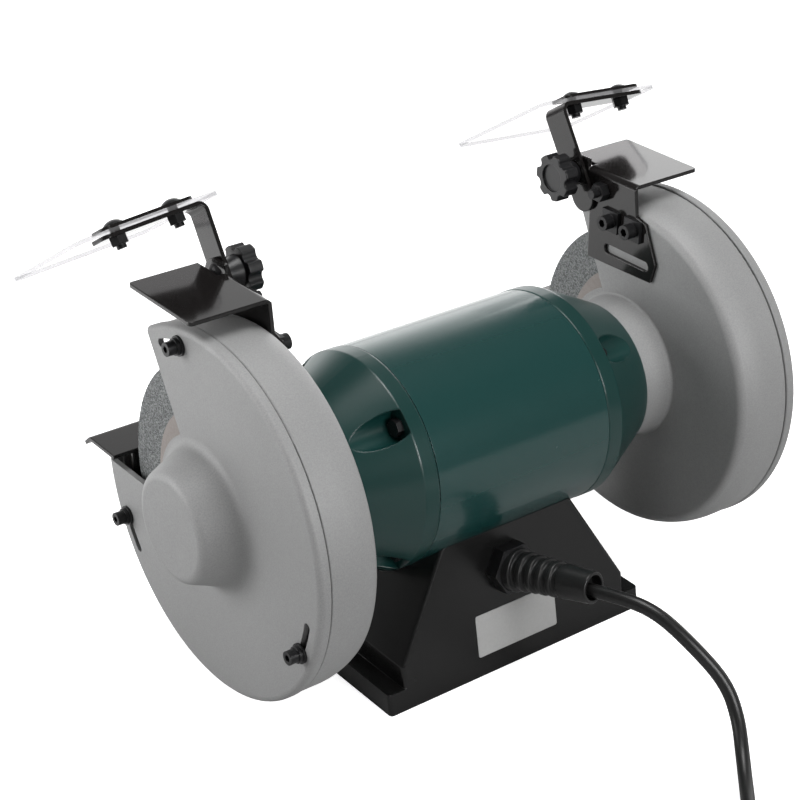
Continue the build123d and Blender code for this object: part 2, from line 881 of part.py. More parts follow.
def shield_arm():
    """Flat bar that rises from the pivot and folds outwards under the shield."""
    droop = math.radians(arm_droop)
    end_x = arm_x + arm_reach * math.cos(droop)
    end_z = arm_rise - arm_reach * math.sin(droop)
    under = arm_rise - arm_t * (1 + math.sin(droop)) / math.cos(droop)
    outline = FilletPolyline(
        (arm_x, -arm_tail),
        (arm_x, arm_rise),
        (end_x, end_z),
        (end_x - arm_t * math.sin(droop), end_z - arm_t * math.cos(droop)),
        (arm_x + arm_t, under),
        (arm_x + arm_t, -arm_tail),
        radius=[0, arm_fold + arm_t, 0, 0, arm_fold, 0],
        close=True,
    )
    bar = extrude(Plane.XZ * make_face(outline), arm_w / 2, both=True)
    bar += Pos(arm_x + arm_t / 2, 0, -arm_tail) * Rot(0, 90, 0) * Cylinder(arm_w / 2, arm_t)
    upright = Axis((0, 0, 0), (math.sin(droop), 0, math.cos(droop)))
    ends = bar.edges().filter_by(upright).group_by(Axis.X)[-1]
    bar = fillet(ends, arm_w / 4)
    bar -= Pos(arm_x + arm_t / 2, 0, 0) * Rot(0, 90, 0) * Cylinder(pivot_d / 2 + pivot_run, arm_t)
    for x in carriage_x:
        bar -= drooped(Pos(x, 0, arm_rise) * Cylinder(carriage_d / 2, 4 * arm_t))
    return tilted(bar)


def eye_shield():
    """Clear plate with rounded corners."""
    plate = box(
        shield_start,
        shield_start + shield_w,
        shield_back - shield_len,
        shield_back,
        arm_rise,
        arm_rise + shield_t,
    )
    plate = fillet(plate.edges().filter_by(Axis.Z), shield_corner)
    for x in carriage_x:
        plate -= Pos(x, 0, arm_rise) * Cylinder(carriage_d / 2, 4 * shield_t)
    return tilted(drooped(plate))


def clamp_strip():
    """Strip above the clear plate."""
    low = arm_rise + shield_t
    strip = box(clamp_start, clamp_start + clamp_len, -arm_w / 2, arm_w / 2, low, low + clamp_t)
    strip = fillet(strip.edges().filter_by(Axis.Z), arm_w / 4)
    for x in carriage_x:
        strip -= Pos(x, 0, low) * Cylinder(carriage_d / 2, 4 * clamp_t)
    return tilted(drooped(strip))


def shield_bolts():
    """Round-headed bolts from above with hexagon nuts below."""
    top = arm_rise + shield_t + clamp_t
    bottom = arm_rise - arm_t
    pieces = []
    for x in carriage_x:
        head = Pos(x, 0, top) * dome(carriage_head_d / 2, carriage_head_h)
        low = bottom - carriage_nut_h - carriage_out
        shank = Pos(x, 0, (top + low) / 2) * Cylinder(carriage_d / 2, top - low)
        nut = Pos(x, 0, bottom - carriage_nut_h) * extrude(
            RegularPolygon(carriage_nut_af / math.sqrt(3), 6), carriage_nut_h
        )
        nut -= shank
        pieces.append(tilted(drooped(head + shank)))
        pieces.append(tilted(drooped(nut)))
    return pieces


def pivot_bolt():
    """Round-headed bolt through the lug, the arm and the knob."""
    head = Pos(wall_x, pivot_y, pivot_z) * Rot(0, 90, 0) * dome(pivot_head_d / 2, pivot_head_h)
    return head + rod(knob_x + knob_bolt_in, wall_x, pivot_d / 2, pivot_y, pivot_z)


def knob():
    """Star knob with rounded notches, a tapered hub and a shallow dish in its face."""
    face = Circle(knob_d / 2)
    for number in range(knob_lobes):
        angle = math.radians(number * 360 / knob_lobes)
        notch = Pos(knob_notch_pitch * math.cos(angle), knob_notch_pitch * math.sin(angle))
        face -= notch * Circle(knob_notch_r)
    face = fillet(face.vertices(), knob_round)
    body = slab_yz(Pos(pivot_y, pivot_z) * face, knob_x, knob_x + knob_body)
    body = fillet(body.edges().group_by(Axis.X)[0], knob_edge)
    hub = Pos((knob_x + knob_body + arm_x - arm_gap) / 2, pivot_y, pivot_z) * Rot(0, 90, 0)
    body += hub * Cone(knob_hub_r, knob_hub_tip, arm_x - arm_gap - knob_x - knob_body)
    body -= rod(knob_x, knob_x + knob_dish, knob_dish_r, pivot_y, pivot_z)
    body -= rod(knob_x + knob_bolt_in - 1, arm_x, pivot_d / 2 + pivot_run, pivot_y, pivot_z)
    return body


# ---------------------------------------------------------------- tool rests


def tool_rest():
    """Bent sheet: rest plate with a turned-down front and rear flange, leg with two slots."""
    low = rest_top - sheet
    outline = FilletPolyline(
        (rest_x, rest_leg_low),
        (rest_x, rest_top),
        (rest_end_x, rest_top),
        (rest_end_x, low),
        (rest_x + sheet, low),
        (rest_x + sheet, rest_leg_low),
        radius=[0, rest_fold + sheet, 0, 0, rest_fold, 0],
        close=True,
    )
    strip = extrude(Plane.XZ * make_face(outline), -(rest_back - rest_front))
    strip = Pos(0, rest_front, 0) * strip
    leg_outline = make_face(
        FilletPolyline(
            (rest_back - 1, rest_leg_low),
            (rest_back - 1, rest_leg_top),
            (rest_leg_back, rest_leg_top),
            (rest_leg_back, rest_leg_low),
            radius=[0, 0, rest_corner, rest_corner],
            close=True,
        )
    )
    fall = math.atan2(rest_lip_drop, rest_lip)
    lip_outline = make_face(
        FilletPolyline(
            (rest_front + rest_fold, rest_top),
            (rest_front, rest_top),
            (rest_front - rest_lip, rest_top - rest_lip_drop),
            (
                rest_front - rest_lip + sheet * math.sin(fall),
                rest_top - rest_lip_drop - sheet * math.cos(fall),
            ),
            (rest_front + sheet * math.tan(fall / 2), low),
            (rest_front + rest_fold, low),
            radius=[0, rest_fold, 0.5, 0.5, rest_fold - sheet, 0],
            close=True,
        )
    )
    lip_x = rest_x + sheet + rest_fold
    body = strip - box(lip_x, rest_end_x, rest_front, rest_front + rest_fold, low, rest_top)
    body += slab_yz(lip_outline, lip_x, rest_end_x)
    body += slab_yz(leg_outline, rest_x, wall_x)
    x0, x1 = rest_flange_x
    body += box(x0, x1, rest_back - sheet, rest_back, rest_flange_low, low + 0.5)
    slot_len = screw_d + 0.6 + rest_in + rest_out + 1
    for y in rest_screw_y:
        slot = Pos(y + (rest_out - rest_in) / 2, rest_slot_z) * SlotOverall(slot_len, screw_d + 0.6)
        body -= slab_yz(slot, rest_x, wall_x)
    return Pos(-fit_gap, 0, 0) * body


def rest_screw_set():
    """Cap screws with round washers that clamp the rest's leg on the guard."""
    pieces = []
    seat = rest_x - 2 * fit_gap
    head_seat = seat - screw_washer_t
    for y in rest_screw_y:
        washer = rod(head_seat, seat, screw_washer / 2, y, rest_slot_z)
        pieces.append(washer - rod(head_seat, seat, screw_d / 2, y, rest_slot_z))
        shank = wall_in - head_seat
        pieces.append(
            cap_screw(
                head_seat, -1, y, rest_slot_z, screw_d, screw_head_d, screw_head_h, shank
            )
        )
    return pieces


# ---------------------------------------------------------------- base


def base_block(inset):
    """Stepped and sloping front outline, cut to the lean of the front and rear panels."""
    half = [
        (foot_half - inset, 0),
        (foot_half - inset, foot_h - inset),
        (waist_half - inset, foot_h - inset),
        (waist_half - inset, waist_z),
        (neck_half - inset, neck_z),
    ]
    other = [(-x, z) for x, z in reversed(half)]
    front = make_face(Polyline(*half, *other, close=True))
    block = extrude(Plane.XZ * front, foot_deep, both=True)
    side = make_face(
        Polyline(
            (foot_deep - inset, 0),
            (neck_deep - inset, neck_z),
            (inset - neck_deep, neck_z),
            (inset - foot_deep, 0),
            close=True,
        )
    )
    return block & slab_yz(side, -foot_half, foot_half)


def switch_plane(depth=0.0):
    """Plane in the front panel at the switch, or further in, facing the operator."""
    lean = math.radians(panel_lean)
    normal = Vector(0, -math.cos(lean), math.sin(lean))
    origin = Vector(0, -panel_y(switch_z), switch_z) - normal * depth
    return Plane(origin=origin, x_dir=(1, 0, 0), z_dir=normal)


def gland_plane(out=0.0):
    """Plane in the rear panel at the gland, or further out, facing the rear."""
    lean = math.radians(panel_lean)
    normal = Vector(0, math.cos(lean), math.sin(lean))
    origin = Vector(gland_x, panel_y(gland_z), gland_z) + normal * out
    return Plane(origin=origin, x_dir=(-1, 0, 0), z_dir=normal)


def base():
    """Hollow base with a saddle for the motor, bench bosses, posts and two panel holes."""
    outer = base_block(0)
    uprights = outer.edges().filter_by(lambda edge: edge.center().Z > 0.5).filter_by(
        lambda edge: edge.bounding_box().size.Z > 5 and abs(edge.center().Y) > neck_deep - 1
    )
    outer = fillet(uprights, base_edge)
    shell = outer - base_block(base_wall)
    saddle = rod(-foot_half, foot_half, tube_r + saddle_wall)
    shell += outer & saddle
    bosses = [(x, y) for x in (-bench_x, bench_x) for y in (-bench_y, bench_y)]
    for x, y in bosses:
        shell += outer & Pos(x, y, bench_boss_h / 2) * Cylinder(bench_boss, bench_boss_h)
        shell -= Pos(x, y, bench_tap / 2) * Cylinder(bench_tap_r, bench_tap)
    post_low = plate_lift + plate_t
    posts = [(x, y) for x in (-cover_post_x, cover_post_x) for y in (-cover_post_y, cover_post_y)]
    for x, y in posts:
        post = Pos(x, y, post_low + cover_post_h / 2) * Cylinder(small_screw_d + 1, cover_post_h)
        shell += outer & post
        hole = Pos(x, y, post_low + small_screw_len / 2)
        shell -= hole * Cylinder(small_screw_d / 2, small_screw_len)
    shell -= rod(-foot_half, foot_half, tube_r)
    for x in (-motor_bolt_x, motor_bolt_x):
        shell -= Pos(x, 0, axis_z - tube_r) * Cylinder(motor_bolt_d / 2, 4 * saddle_wall)
    shell -= extrude(switch_plane(2 * base_wall) * Rectangle(switch_w, switch_h), 4 * base_wall)
    shell -= extrude(gland_plane(-2 * base_wall) * Circle(gland_thread_d / 2), 4 * base_wall)
    return shell


def bottom_cover():
    """Plate set just inside the foot, notched round the bench bosses."""
    inner_x = foot_half - base_wall - 0.5
    lean = foot_deep - panel_y(plate_lift + plate_t)
    inner_y = foot_deep - lean - base_wall - 0.5
    plate = box(-inner_x, inner_x, -inner_y, inner_y, plate_lift, plate_lift + plate_t)
    for x in (-bench_x, bench_x):
        for y in (-bench_y, bench_y):
            plate -= Pos(x, y, plate_lift) * Cylinder(bench_boss + 0.5, 4 * plate_t)
    for x in (-cover_post_x, cover_post_x):
        for y in (-cover_post_y, cover_post_y):
            plate -= Pos(x, y, plate_lift) * Cylinder(small_screw_d / 2 + 0.2, 4 * plate_t)
    return plate


def bottom_screws():
    """Pan-headed screws from below; their heads stay above the bench."""
    pieces = []
    head_h = plate_lift * 0.8
    for x in (-cover_post_x, cover_post_x):
        for y in (-cover_post_y, cover_post_y):
            head = Pos(x, y, plate_lift - head_h / 2) * Cylinder(small_head_d / 2, head_h)
            length = plate_t + small_screw_len - 1
            shank = Pos(x, y, plate_lift + length / 2) * Cylinder(small_screw_d / 2, length)
            pieces.append(head + shank)
    return pieces


def motor_bolts():
    """Hexagon bolts from inside the base up into the motor tube."""
    pieces = []
    seat = axis_z - tube_r - saddle_wall
    tip = axis_z - tube_r + tube_wall + motor_bolt_in - 0.5
    for x in (-motor_bolt_x, motor_bolt_x):
        head = Pos(x, 0, seat - motor_bolt_head_h) * extrude(
            RegularPolygon(motor_bolt_head / math.sqrt(3), 6), motor_bolt_head_h
        )
        shank = Pos(x, 0, (seat + tip) / 2) * Cylinder(motor_bolt_d / 2, tip - seat)
        pieces.append(head + shank)
    return pieces


# ---------------------------------------------------------------- electrical pieces


def capacitor():
    """Run capacitor with two terminals, lying along the base."""
    x, y, z = cap_centre
    can = rod(x - cap_len / 2, x + cap_len / 2, cap_d / 2, y, z)
    for dy in (-6, 6):
        can += box(x + cap_len / 2, x + cap_len / 2 + 7, y + dy - 3, y + dy + 3, z - 0.4, z + 0.4)
    return can


def capacitor_clamp():
    """Strap over the capacitor with a foot on each side, on the bottom cover."""
    x, y, z = cap_centre
    floor = plate_lift + plate_t
    r = cap_d / 2
    band = slab_yz(Pos(y, z) * Circle(r + strap_t), x - strap_w / 2, x + strap_w / 2)
    legs = box(x - strap_w / 2, x + strap_w / 2, y - r - strap_t, y + r + strap_t, floor, z)
    feet = box(
        x - strap_w / 2,
        x + strap_w / 2,
        y - r - strap_foot,
        y + r + strap_foot,
        floor,
        floor + strap_t,
    )
    body = band + legs + feet
    body -= rod(x - strap_w, x + strap_w, r, y, z)
    body -= box(x - strap_w, x + strap_w, y - r, y + r, floor - 5, z)
    return body


def cradle_pad():
    """Foam pad between the bottom cover and the capacitor."""
    x, y, z = cap_centre
    floor = plate_lift + plate_t
    pad = box(x - cap_len / 3, x + cap_len / 3, y - 8, y + 8, floor, z)
    return pad - rod(x - cap_len, x + cap_len, cap_d / 2, y, z)


def terminal_block():
    """Connector strip on the bottom cover, with a row of screw wells."""
    length, depth, height = terminal_size
    x, y = terminal_centre
    floor = plate_lift + plate_t
    block = box(x - length / 2, x + length / 2, y - depth / 2, y + depth / 2, floor, floor + height)
    for step in (-1, 0, 1):
        block -= Pos(x + step * length / 3, y, floor + height) * Cylinder(2.5, height)
    return block


def switch_body():
    """Switch housing in the front panel with a bezel round an open window."""
    bezel = extrude(
        switch_plane() * Rectangle(switch_w + 2 * bezel_over, switch_h + 2 * bezel_over), bezel_t
    )
    shell = extrude(
        switch_plane(switch_deep) * Rectangle(switch_w - 0.2, switch_h - 0.2), switch_deep
    )
    window_w = rocker_w + 1
    window_h = 2 * rocker_r + 1
    window = extrude(
        switch_plane(rocker_r + 1) * Rectangle(window_w, window_h), rocker_r + bezel_t + 2
    )
    return bezel + shell - window


def rocker():
    """Rocker paddle: a round-backed block with a shallow vee face, at its off position."""
    plane = switch_plane(rocker_pivot_in)
    across = Plane(origin=plane.origin, x_dir=plane.y_dir, z_dir=(1, 0, 0))
    face_out = rocker_pivot_in + bezel_t + 1.5
    vee = 2.0
    profile = Polyline(
        (-rocker_r + 1, face_out),
        (0, face_out - vee),
        (rocker_r - 1, face_out),
        (rocker_r - 1, 0),
        (4, -rocker_pivot_in - 2),
        (-4, -rocker_pivot_in - 2),
        (-rocker_r + 1, 0),
        close=True,
    )
    paddle = extrude(across * Rot(0, 0, rocker_tilt) * make_face(profile), rocker_w / 2, both=True)
    return paddle


def cable_gland():
    """Hexagonal gland on the rear panel with its lock nut inside."""
    nut = extrude(gland_plane() * RegularPolygon(gland_af / math.sqrt(3), 6), gland_nut_h)
    stem = extrude(gland_plane(-gland_in) * Circle(gland_thread_d / 2 - 0.1), gland_in)
    lock_out = -base_wall * math.cos(math.radians(panel_lean)) - 0.05
    lock = extrude(
        gland_plane(lock_out - gland_lock_h) * RegularPolygon(gland_lock_af / math.sqrt(3), 6),
        gland_lock_h,
    )
    bore = extrude(gland_plane(-gland_in) * Circle(cord_d / 2), gland_in + gland_nut_h)
    return nut + stem + lock - bore


def cord_path(points):
    """Straight runs joined by arcs as large as their shorter run allows."""
    corners = [Vector(*point) for point in points]
    radii = []
    for before, here, after in zip(corners, corners[1:], corners[2:]):
        turn = (here - before).get_angle(after - here)
        shorter = min((here - before).length, (after - here).length)
        radii.append(0.45 * shorter / math.tan(math.radians(turn) / 2))
    return FilletPolyline(*corners, radius=radii), radii


def strain_relief():
    """Ribbed, tapered sleeve from the gland's face to an open mouth round the cord."""
    cord_start = Vector(*cord_route[0])
    leave = (Vector(*cord_route[1]) - cord_start).normalized()
    up = (Vector(0, 0, 1) - leave * leave.Z).normalized()
    tip = cord_start + leave * relief_mouth + up * cord_sag
    root = gland_plane(gland_nut_h)
    length = (tip - root.origin).dot(leave)
    back = length + relief_flange_d * math.tan(leave.get_angle(root.z_dir) * math.pi / 180)
    taper = (relief_root_d - relief_tip_d) / 2 / length
    outline = [(relief_bore_d / 2, -relief_mouth), (relief_bore_d / 2, 0), (relief_tip_d / 2, 0)]
    radii = [0, 0.3, relief_edge]
    for number in reversed(range(relief_ribs)):
        at = relief_flange_t + (number + 1) * relief_pitch
        crest = relief_root_d / 2 - taper * at
        valley = crest - relief_groove
        outline += [(crest, at - length), (crest, at - relief_pitch * 0.45 - length)]
        outline += [(valley, at - relief_pitch * 0.55 - length), (valley, at - relief_pitch - length)]
        radii += [relief_edge] * 4
    outline += [(relief_flange_d / 2, relief_flange_t - length), (relief_flange_d / 2, -back)]
    outline += [(0, -back), (0, -relief_mouth)]
    radii += [relief_edge, 0, 0, 0]
    profile = make_face(FilletPolyline(*outline, radius=radii, close=True))
    sleeve = revolve(Plane.XZ * profile, Axis.Z, 360)
    sleeve = Plane(origin=tip, z_dir=leave) * sleeve
    return sleeve - extrude(root * Circle(2 * relief_flange_d), -2 * relief_flange_d)


def cord_tube(path):
    """Round cord swept along a path."""
    start = Plane(origin=path @ 0, z_dir=path % 0)
    return sweep(start * Circle(cord_d / 2), path=path)


def coil():
    """Outer shape of the wound turns: a ring as wide and high as its columns and rows."""
    width = (coil_columns - 1) * coil_column_pitch + cord_d
    height = coil_rows * cord_d
    section = Pos(coil_mid_r, height / 2) * RectangleRounded(width, height, cord_d / 2 - 0.01)
    ring = revolve(Plane.XZ * section, Axis.Z, 360)
    return Pos(coil_centre.X, coil_centre.Y, 0) * ring


def plug_parts():
    """Tail of cord that leaves the coil and the plug at its end, lying beside it."""
    x, y = coil_centre.X, coil_centre.Y
    top_turn = (coil_rows - 0.5) * cord_d
    points = [
        (x, y + coil_outer_turn, top_turn),
        (x - tail_run, y + coil_outer_turn - 1.0, top_turn - 1.5),
        (x - 2 * tail_run, y + coil_outer_turn - 4.0, plug_d / 2 + 1.0),
        (x - 2.6 * tail_run, y + coil_outer_turn - 6.5, plug_d / 2),
    ]
    path, radii = cord_path(points)
    end = Vector(*points[-1])
    out = (end - Vector(*points[-2])).normalized()
    plane = Plane(origin=end, z_dir=out)
    neck = loft(
        [plane * Circle(plug_neck_d / 2), plane.offset(plug_neck) * Circle(plug_d / 3)]
    )
    body = extrude(plane.offset(plug_neck) * Circle(plug_d / 2), plug_len)
    body = fillet(body.edges().filter_by(GeomType.CIRCLE), 3)
    body = neck + body
    face = plane.offset(plug_neck + plug_len)
    for side in (-1, 1):
        pin = face * Pos(0, side * plug_pin_pitch / 2) * Circle(plug_pin_d / 2)
        body += extrude(pin, plug_pin_len)
    return cord_tube(path), body, radii


# ---------------------------------------------------------------- build


def build_motor():
    """Write the motor's nodes."""
    save("motor_tube", motor_tube())
    save_pair("end_shield", end_shield())
    save("tie_bolts", *tie_bolts())
    core, ring = stator()
    save("stator_core", core)
    save_both("stator_windings", ring)
    outer, inner, balls, washer = bearing_parts()
    save_both("bearing_outer_races", outer)
    save_both("bearing_inner_races", inner)
    save_both("bearing_balls", *balls)
    save_both("bearing_washers", washer)
    save("shaft", shaft())
    save("rotor_core", rotor_core())


def build_wheels():
    """Write the nodes on the shaft's ends."""
    save_pair("grinding_wheel", wheel())
    save_both("inner_flanges", inner_flange())
    save_both("blotters", *blotter_pair())
    save_both("outer_flanges", outer_flange())
    save_both("arbor_nuts", arbor_nut())


def build_guards():
    """Write the guards, covers, brackets, shields and rests of both sides."""
    save_pair("guard", guard())
    save_both("guard_screws", *hub_screws())
    save_pair("cover", cover())
    save_both("cover_screws", *cover_screw_set())
    save_pair("shield_bracket", bracket())
    save_both("bracket_screws", *bracket_screw_set())
    save_both("stop_screws", *stop_screw_set())
    save_pair("shield_arm", shield_arm())
    save_pair("eye_shield", eye_shield())
    save_pair("clamp_strip", clamp_strip())
    save_pair("shield_bolts", *shield_bolts())
    save_both("pivot_bolts", pivot_bolt())
    save_pair("knob", knob())
    save_pair("tool_rest", tool_rest())
    save_both("rest_screws", *rest_screw_set())


def build_base():
    """Write the base, its electrical pieces and the cord."""
    save("base", base())
    save("bottom_cover", bottom_cover())
    save("bottom_screws", *bottom_screws())
    save("motor_bolts", *motor_bolts())
    save("capacitor", capacitor())
    save("capacitor_clamp", capacitor_clamp())
    save("capacitor_pad", cradle_pad())
    save("terminal_block", terminal_block())
    save("switch_body", switch_body())
    save("switch_rocker", rocker())
    save("cable_gland", cable_gland())
    save("strain_relief", strain_relief())
    path, radii = cord_path(cord_route)
    cord = cord_tube(path)
    save("mains_cord", cord)
    save("cord_coil", coil())
    tail, plug, tail_radii = plug_parts()
    save("cord_tail", tail)
    save("plug", plug)
    section = math.pi * cord_d**2 / 4
    print("cord bend radii", [round(radius, 1) for radius in radii + tail_radii])
    print("cord volume over section times length", round(cord.volume / (section * path.length), 4))


build_motor()
build_wheels()
build_guards()
build_base()
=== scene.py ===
"""Bench grinder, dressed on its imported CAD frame. Metres, +X right, -Y operator, +Z up."""

import json
import math

import bmesh
import bpy
from mathutils import Matrix, Vector


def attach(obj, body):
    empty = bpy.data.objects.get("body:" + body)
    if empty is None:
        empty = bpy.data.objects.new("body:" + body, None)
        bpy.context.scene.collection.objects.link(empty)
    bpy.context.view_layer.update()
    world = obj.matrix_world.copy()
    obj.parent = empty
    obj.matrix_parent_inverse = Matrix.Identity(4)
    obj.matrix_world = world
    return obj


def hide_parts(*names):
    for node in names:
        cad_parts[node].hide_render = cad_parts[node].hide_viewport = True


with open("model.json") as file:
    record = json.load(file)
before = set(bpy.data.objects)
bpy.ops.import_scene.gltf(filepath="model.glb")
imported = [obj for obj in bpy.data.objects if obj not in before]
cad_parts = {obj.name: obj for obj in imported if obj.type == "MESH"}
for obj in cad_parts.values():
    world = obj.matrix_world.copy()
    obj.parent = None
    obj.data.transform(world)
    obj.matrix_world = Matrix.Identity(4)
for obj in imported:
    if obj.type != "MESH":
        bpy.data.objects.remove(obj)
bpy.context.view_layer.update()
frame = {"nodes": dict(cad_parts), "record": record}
nodes = frame["nodes"]

MM = 0.001

# ---------------------------------------------------------------- camera and studio

CAMERA_AZIMUTH = math.radians(142.94)
CAMERA_ELEVATION = math.radians(27.98)
CAMERA_ROLL = math.radians(0.15)
CAMERA_DISTANCE = 1.0393
CAMERA_TARGET = Vector((0.036, 0.0, 0.141))
CAMERA_LENS = 93.03
SENSOR = 36.0

# The camera sees a white room. Every other ray sees this dim one, with a glow low down in one
# direction: it fades out as that direction's cosine falls and as the ray's rise grows.
ROOM_LIGHT = 0.12
BACK_GLOW = 1.5
BACK_GLOW_WAY = (-0.74, -0.67, 0)
BACK_GLOW_COSINE = (0.2, 0.9)
BACK_GLOW_RISE = (0.12, 0.78)
# The floor is bright to the camera. To every other ray it goes from near to far tones, and
# starts to glow, over these distances towards -Y.
FLOOR_SIZE = 12.0
FLOOR_COLOUR = (0.92, 0.92, 0.92, 1)
FLOOR_ROUGHNESS = 0.9
FLOOR_GLOW = 0.75
FLOOR_NEAR = 0.45
FLOOR_FAR = 0.9
FLOOR_TONE_REACH = (0.0, 0.3)
FLOOR_FAR_GLOW = 0.6
FLOOR_GLOW_REACH = (0.1, 0.5)
WHITE = (1, 1, 1, 1)
# Soft panels: name, place, aim, size, power
PANELS = (
    ("overhead", (-0.02, 0, 1.75), (-0.02, 0, 0), (0.7, 1.0), 17),
    ("backdrop", (-1.7, -1.1, 0.62), (-0.1, 0, 0.2), (1.1, 1.2), 7.5),
    ("left_side", (1.4, -0.85, 0.6), (0.1, 0, 0.15), (0.9, 0.8), 16),
    ("fill", (-0.1, 1.55, 0.75), (0, 0, 0.12), (0.65, 0.6), 14),
)


def make_camera():
    """Camera at the photograph's angle."""
    back = Vector(
        (
            math.sin(CAMERA_AZIMUTH) * math.cos(CAMERA_ELEVATION),
            -math.cos(CAMERA_AZIMUTH) * math.cos(CAMERA_ELEVATION),
            math.sin(CAMERA_ELEVATION),
        )
    )
    right = Vector((0, 0, 1)).cross(back).normalized()
    up = back.cross(right)
    roll = Matrix.Rotation(CAMERA_ROLL, 3, back)
    axes = Matrix((roll @ right, roll @ up, back)).transposed()
    data = bpy.data.cameras.new("camera")
    data.lens = CAMERA_LENS
    data.sensor_width = SENSOR
    data.clip_start = 0.01
    camera = bpy.data.objects.new("camera", data)
    camera.matrix_world = Matrix.Translation(CAMERA_TARGET + back * CAMERA_DISTANCE) @ axes.to_4x4()
    bpy.context.scene.collection.objects.link(camera)
    bpy.context.scene.camera = camera


def area_light(name, place, aim, size, power):
    """Soft rectangular lamp that looks at a point."""
    data = bpy.data.lights.new(name, "AREA")
    data.shape = "RECTANGLE"
    data.size, data.size_y = size
    data.energy = power
    lamp = bpy.data.objects.new(name, data)
    direction = Vector(aim) - Vector(place)
    lamp.matrix_world = (
        Matrix.Translation(place) @ direction.to_track_quat("-Z", "Y").to_matrix().to_4x4()
    )
    bpy.context.scene.collection.objects.link(lamp)


def seen_rays(tree):
    """One for rays that the camera sees straight or through clear plastic, zero for the rest."""
    path = tree.nodes.new("ShaderNodeLightPath")
    through = path.outputs["Is Transmission Ray"]
    return math_node(tree, "MAXIMUM", path.outputs["Is Camera Ray"], through)


def vector_math(tree, operation, value, other):
    """Scalar or vector result of a vector operation with a constant."""
    node = tree.nodes.new("ShaderNodeVectorMath")
    node.operation = operation
    tree.links.new(value, node.inputs[0])
    node.inputs[1].default_value = other
    return node.outputs["Value" if operation == "DOT_PRODUCT" else "Vector"]


def eased(tree, value, limits, low, high):
    """Smooth step from one value to another as an input rises between two limits."""
    node = tree.nodes.new("ShaderNodeMapRange")
    node.interpolation_type = "SMOOTHSTEP"
    sockets = ("From Min", "From Max", "To Min", "To Max")
    for key, number in zip(sockets, (*limits, low, high)):
        node.inputs[key].default_value = number
    tree.links.new(value, node.inputs["Value"])
    return node.outputs["Result"]


def math_node(tree, operation, first, second):
    """Result of a scalar operation on two sockets, or on a socket and a number."""
    node = tree.nodes.new("ShaderNodeMath")
    node.operation = operation
    tree.links.new(first, node.inputs[0])
    if isinstance(second, (int, float)):
        node.inputs[1].default_value = second
    else:
        tree.links.new(second, node.inputs[1])
    return node.outputs["Value"]


def mix_shaders(tree, factor, first, second, output):
    """Send one shader or the other to an output node, by a factor."""
    node = tree.nodes.new("ShaderNodeMixShader")
    tree.links.new(factor, node.inputs["Fac"])
    tree.links.new(first, node.inputs[1])
    tree.links.new(second, node.inputs[2])
    tree.links.new(node.outputs["Shader"], tree.nodes[output].inputs["Surface"])


def back_glow(tree):
    """Light of the room: dim, and brighter low down beyond the object."""
    place = tree.nodes.new("ShaderNodeTexCoord")
    way = place.outputs["Generated"]
    cosine = vector_math(tree, "DOT_PRODUCT", way, BACK_GLOW_WAY)
    beyond = eased(tree, cosine, BACK_GLOW_COSINE, 0, 1)
    rise = vector_math(tree, "DOT_PRODUCT", way, (0, 0, 1))
    low = eased(tree, rise, BACK_GLOW_RISE, BACK_GLOW, 0)
    return math_node(tree, "ADD", math_node(tree, "MULTIPLY", beyond, low), ROOM_LIGHT)


def make_room():
    """White backdrop to the camera, dim room with a low glow to every other ray."""
    world = bpy.data.worlds.new("studio")
    bpy.context.scene.world = world
    world.use_nodes = True
    tree = world.node_tree
    room = tree.nodes["Background"]
    room.inputs["Color"].default_value = WHITE
    tree.links.new(back_glow(tree), room.inputs["Strength"])
    backdrop = tree.nodes.new("ShaderNodeBackground")
    backdrop.inputs["Color"].default_value = WHITE
    backdrop.inputs["Strength"].default_value = 1.0
    shaders = room.outputs["Background"], backdrop.outputs["Background"]
    mix_shaders(tree, seen_rays(tree), *shaders, "World Output")


def make_floor():
    """Plain pale floor, bright to the camera and dimmer in reflections."""
    bpy.ops.mesh.primitive_plane_add(size=FLOOR_SIZE, location=(0, 0, 0))
    floor = bpy.context.object
    floor.name = "floor"
    material, tree, surface = new_material("pale_floor")
    surface.inputs["Base Color"].default_value = FLOOR_COLOUR
    surface.inputs["Roughness"].default_value = FLOOR_ROUGHNESS
    surface.inputs["Emission Color"].default_value = WHITE
    surface.inputs["Emission Strength"].default_value = FLOOR_GLOW
    dim = tree.nodes.new("ShaderNodeBsdfDiffuse")
    place = tree.nodes.new("ShaderNodeTexCoord")
    ahead = vector_math(tree, "DOT_PRODUCT", place.outputs["Object"], (0, -1, 0))
    tone = eased(tree, ahead, FLOOR_TONE_REACH, FLOOR_NEAR, FLOOR_FAR)
    tree.links.new(tone, dim.inputs["Color"])
    glow = tree.nodes.new("ShaderNodeEmission")
    strength = eased(tree, ahead, FLOOR_GLOW_REACH, 0, FLOOR_FAR_GLOW)
    tree.links.new(strength, glow.inputs["Strength"])
    lit = tree.nodes.new("ShaderNodeAddShader")
    tree.links.new(dim.outputs["BSDF"], lit.inputs[0])
    tree.links.new(glow.outputs["Emission"], lit.inputs[1])
    shaders = lit.outputs["Shader"], surface.outputs["BSDF"]
    mix_shaders(tree, seen_rays(tree), *shaders, "Material Output")
    floor.data.materials.append(material)


def make_studio():
    """Room, floor and soft panels above, beside and behind."""
    bpy.context.scene.view_settings.view_transform = "Standard"
    make_room()
    make_floor()
    for name, place, aim, size, power in PANELS:
        area_light(name, place, aim, size, power)


# ---------------------------------------------------------------- materials

# Clear sheet: its flat faces' normal, the squared cosine to it at which an edge turns to a
# face, and for each of the two the share of solid surface and the tint of what passes
SHEET_NORMAL = (0, -0.078, 0.997)
EDGE_TO_FACE = (0.3, 0.7)
# The edges' darker tint and larger solid share are painted shade, for light bent inside the cut
# edges
EDGE_BODY = 0.3
FACE_BODY = 0.05
PAINTED_EDGE_SHADE = (0.66, 0.66, 0.67)
FACE_TINT = (0.945, 0.938, 0.942)
